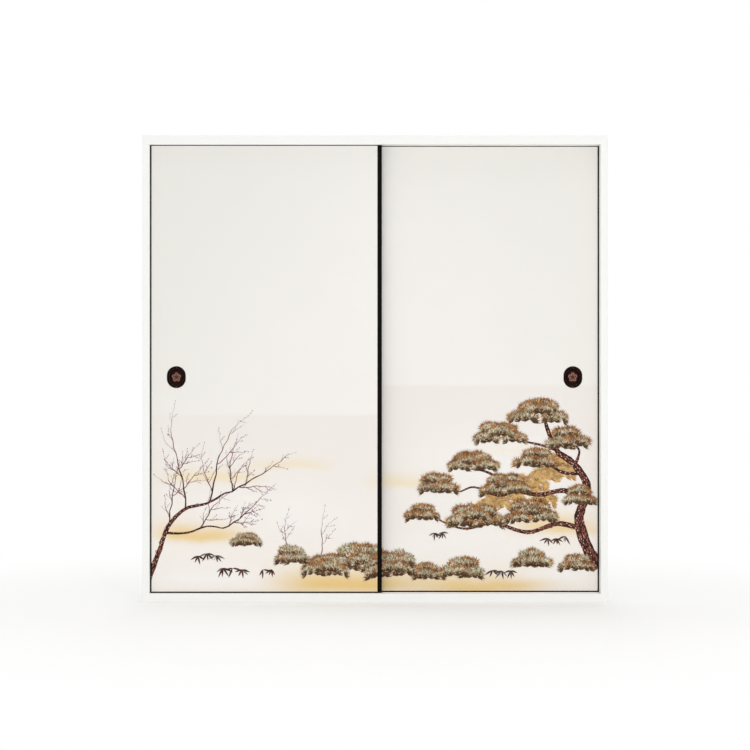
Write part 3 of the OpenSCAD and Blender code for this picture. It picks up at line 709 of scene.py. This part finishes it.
# Bamboo grass as [middle x, y, leaf length, tufts]
GRASSES = [
    [-660, 150, 42, 3], [-560, 92, 44, 3], [-424, 88, 40, 2],
    [500, 84, 42, 3], [716, 214, 40, 3], [250, 232, 36, 2],
]
for spec in FAR_FOLIAGE:
    pad(*spec, far=True)
for spec in PINE:
    limb(*spec)
for spec in BOUGHS:
    pad(*spec)
for spec in SHRUBS:
    pad(*spec, arch=0.22, brown=0.6)
for spec in BARE_TREE:
    limb(*spec)
for spec in TWIGS:
    twig(*spec)
for spec in GRASSES:
    grass(*spec)


def film(side, tint):
    """One mesh for all the strokes of one tint on one door."""
    verts, faces = [], []
    plane = side * PITCH / 2 - PAPER
    for points, height in strokes[side, tint]:
        n, k = len(points), len(verts)
        for y in (plane - height, plane):
            verts += [(p[0] / MM, y / MM, (p[1] + SILL) / MM) for p in points]
        faces.append(list(range(k, k + n)))
        faces.append(list(range(k + 2 * n - 1, k + n - 1, -1)))
        for i in range(n):
            j = (i + 1) % n
            faces.append((k + j, k + i, k + n + i, k + n + j))
    mesh = bpy.data.meshes.new(f"{SIDES[side]}_{tint}")
    mesh.from_pydata(verts, [], faces)
    mesh.update()
    piece = bpy.data.objects.new(mesh.name, mesh)
    bpy.context.scene.collection.objects.link(piece)
    mesh.materials.append(inks[tint])
    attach(piece, f"{SIDES[side]}_door")
    return piece


inks = {tint: ink(f"ink_{tint}", *pair) for tint, pair in TINTS.items()}
for side, name in SIDES.items():
    made = {tint: film(side, tint) for tint in TINTS if strokes[side, tint]}
    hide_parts(f"{name}_print_branches")
    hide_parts(f"{name}_print_foliage")

# The CAD pieces' materials

wood, black, inner, under = painted_wood(), lacquer(), cedar(), soft_paper()
wire, nail = steel(), brass()
plan = {name: wood for name in ("head_track", "sill_track", "jamb_left", "jamb_right")}
plan["corner_screws"] = wire
for side, name in SIDES.items():
    for mat, ends in (
        (black, ["stile_outer", "stile_meeting", "top_rail", "bottom_rail"]),
        (inner, ["core_side_bars", "core_end_bars", "core_cross_bars", "core_uprights"]),
        (inner, ["corner_plates", "pull_board"]),
        (under, ["underlay_front", "underlay_back"]),
        (paper(side, True), ["facing_front", "print_mist"]),
        (paper(side, False), ["facing_back"]),
        (ring_metal(side), ["pull_ring_front", "pull_ring_back"]),
        (cup_metal(side, 1), ["pull_cup_front"]),
        (cup_metal(side, -1), ["pull_cup_back"]),
        (nail, ["pull_nails"]),
        (wire, ["stile_nails", "rail_nails"]),
        (inks["bark_dark"], ["print_branches"]),
        (inks["wash_brown"], ["print_foliage"]),
    ):
        plan.update({f"{name}_{end}": mat for end in ends})
for name, mat in plan.items():
    mesh = nodes[name].data
    mesh.materials.clear()
    mesh.materials.append(mat)
assert set(plan) == set(nodes), set(plan) ^ set(nodes)

# Floor, light and camera, in metres

FLOOR_SIZE = 24
FLOOR_FADE = 1.2, 2.6  # distances from the middle between which the floor turns white
WORLD_LIGHT = 0.6
AIM = 0, 0, 0.9
# Lamps as [name, place, target, size, watts]
LAMPS = [
    ["left", (-1.9, -8.0, 1.5), AIM, (1.0, 1.0), 48],
    ["right", (2.0, -8.0, 1.5), AIM, (1.0, 1.0), 100],
    ["behind", (0.0, 8.0, 2.2), AIM, (3.0, 2.0), 60],
    ["top", (0.0, 0.0, 14.0), (0, 0, 0), (16.0, 16.0), 820],
]
# The camera looks straight at the doors' middle, as the photo's does
EYE = 0.0, -8.0, 0.8924
LENS, SENSOR, CLIP_END = 97.41, 36.0, 100


def floor():
    """A pale floor that takes the object's shadow and is white far from it to the camera."""
    bpy.ops.mesh.primitive_plane_add(size=FLOOR_SIZE, location=(0, 0, 0))
    plane = bpy.context.object
    plane.name = "floor"
    t = Tree("pale_floor")
    t.set(Base_Color=srgb(253, 253, 252), Roughness=0.9)
    x, y, _ = t.xyz()
    far = t.step(t.length(x, y), *FLOOR_FADE)
    path = t.nt.nodes.new("ShaderNodeLightPath")
    seen = path.outputs["Is Camera Ray"]
    glow = t.nt.nodes.new("ShaderNodeEmission")
    glow.inputs["Color"].default_value = (1, 1, 1, 1)
    both = t.nt.nodes.new("ShaderNodeMixShader")
    t.nt.links.new(t.mul(far, seen), both.inputs[0])
    t.nt.links.new(t.bsdf.outputs[0], both.inputs[1])
    t.nt.links.new(glow.outputs[0], both.inputs[2])
    t.nt.links.new(both.outputs[0], t.out.inputs[0])
    plane.data.materials.append(t.mat)


def world(light):
    """An even light that looks white to the camera, and in metal and glass."""
    w = bpy.data.worlds.new("studio")
    bpy.context.scene.world = w
    w.use_nodes = True
    nt = w.node_tree
    nt.nodes.clear()
    out = nt.nodes.new("ShaderNodeOutputWorld")
    mixer = nt.nodes.new("ShaderNodeMixShader")
    lit, white = nt.nodes.new("ShaderNodeBackground"), nt.nodes.new("ShaderNodeBackground")
    lit.inputs["Color"].default_value = (1, 1, 1, 1)
    lit.inputs["Strength"].default_value = light
    white.inputs["Color"].default_value = (1, 1, 1, 1)
    white.inputs["Strength"].default_value = 1.0
    path = nt.nodes.new("ShaderNodeLightPath")
    a, b = nt.nodes.new("ShaderNodeMath"), nt.nodes.new("ShaderNodeMath")
    a.operation = b.operation = "MAXIMUM"
    nt.links.new(path.outputs["Is Camera Ray"], a.inputs[0])
    nt.links.new(path.outputs["Is Glossy Ray"], a.inputs[1])
    nt.links.new(a.outputs[0], b.inputs[0])
    nt.links.new(path.outputs["Is Transmission Ray"], b.inputs[1])
    nt.links.new(b.outputs[0], mixer.inputs[0])
    nt.links.new(lit.outputs[0], mixer.inputs[1])
    nt.links.new(white.outputs[0], mixer.inputs[2])
    nt.links.new(mixer.outputs[0], out.inputs[0])


def lamp(name, at, target, size, power):
    data = bpy.data.lights.new(name, "AREA")
    data.shape = "RECTANGLE"
    data.size, data.size_y = size
    data.energy = power
    ob = bpy.data.objects.new(name, data)
    bpy.context.scene.collection.objects.link(ob)
    ob.location = at
    way = [b - a for a, b in zip(at, target)]
    ob.rotation_euler = Vector(way).to_track_quat("-Z", "Y").to_euler()


floor()
world(WORLD_LIGHT)
for spec in LAMPS:
    lamp(*spec)

scene = bpy.context.scene
scene.view_settings.view_transform = "Standard"
cam = bpy.data.cameras.new("camera")
cam.sensor_width = SENSOR
cam.lens = LENS
cam.clip_end = CLIP_END
eye = bpy.data.objects.new("camera", cam)
scene.collection.objects.link(eye)
eye.location = EYE
eye.rotation_euler = (math.radians(90), 0, 0)
scene.camera = eye
